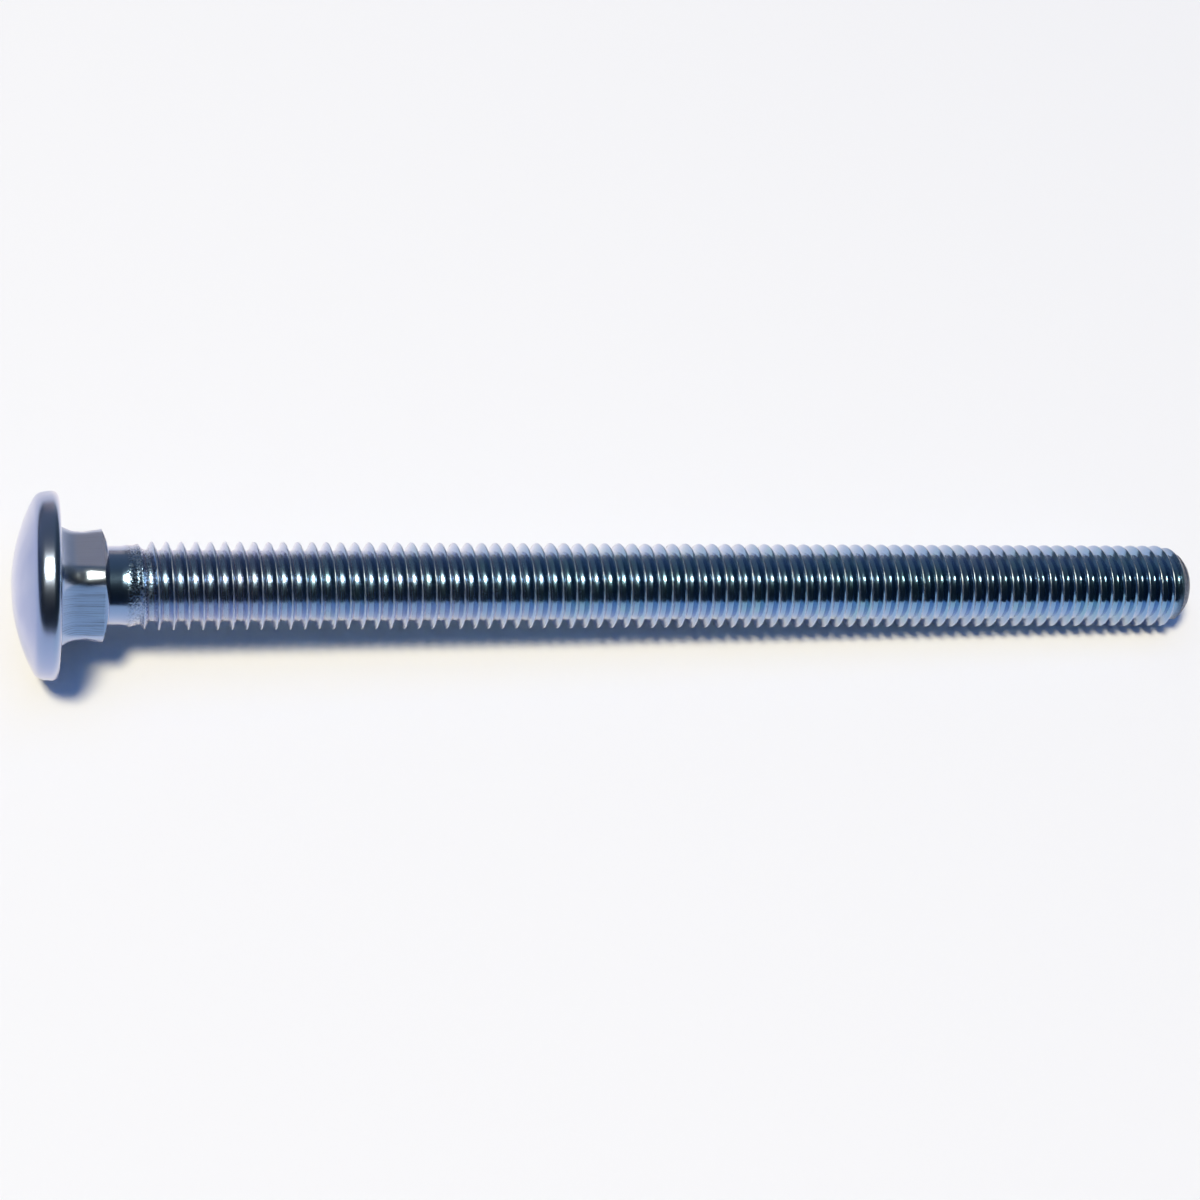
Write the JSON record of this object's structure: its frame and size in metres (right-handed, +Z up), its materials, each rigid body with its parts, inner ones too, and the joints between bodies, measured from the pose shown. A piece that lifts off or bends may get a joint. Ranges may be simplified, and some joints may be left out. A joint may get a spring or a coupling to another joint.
{
  "type": "round-head square-neck bolt",
  "caption": "Fully threaded bolt with a low domed head, a square neck under it and a rounded point, lying on its side.",
  "frame": {"origin": "on the ground, under the middle of the bolt's length and width as it lies at rest", "axes": "+X from the head towards the point, +Y across the bolt, +Z up; the bolt's own axis falls 2.38 degrees from head to point"},
  "size_m": [0.1566, 0.0234, 0.0234],
  "materials": {
    "zinc_plate": "bright zinc plate with a clear bluish passivate, drawn lines on the neck's flats"
  },
  "bodies": {
    "root": {"carriage_bolt": "zinc_plate"}
  },
  "joints": []
}
